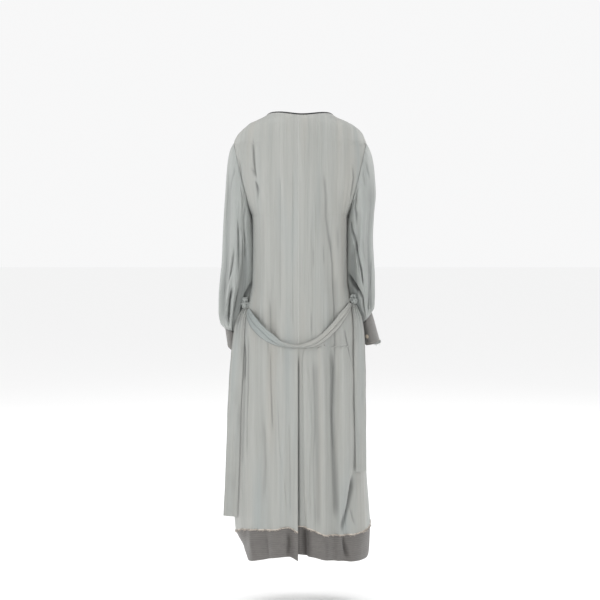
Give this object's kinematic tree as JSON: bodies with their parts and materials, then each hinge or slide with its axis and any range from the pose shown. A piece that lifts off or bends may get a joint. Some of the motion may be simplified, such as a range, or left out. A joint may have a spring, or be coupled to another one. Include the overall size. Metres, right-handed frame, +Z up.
{
  "type": "duster coat",
  "caption": "Long loose duster coat worn hollow, open in front, with full sleeves, wool cuffs and hem band, back vent and a belt hung in a sling behind.",
  "frame": {"origin": "middle of the neck opening, level with the line on which the two shoulders meet the neck", "axes": "+Z up along the coat's length, +Y out of its back, +X to the wearer's left"},
  "size_m": [0.5297, 0.3602, 1.4433],
  "materials": {
    "satin": "pale grey-green satin, soft sheen",
    "sleeve_satin": "pale grey-green satin, soft sheen",
    "wool": "matt taupe wool with fine ribs",
    "dark_tape": "matt near-black tape",
    "horn": "polished pale horn"
  },
  "bodies": {
    "root": {"back_left": "satin", "front_left": "satin", "hem_back_left": "wool", "hem_front_left": "wool", "sleeve_left": "sleeve_satin", "cuff_left": "wool", "cuff_button_left": "horn", "belt_loop_left": "satin", "back_right": "satin", "front_right": "satin", "hem_back_right": "wool", "hem_front_right": "wool", "sleeve_right": "sleeve_satin", "cuff_right": "wool", "cuff_button_right": "horn", "belt_loop_right": "satin", "neck_binding": "dark_tape", "belt": "satin"}
  },
  "joints": []
}
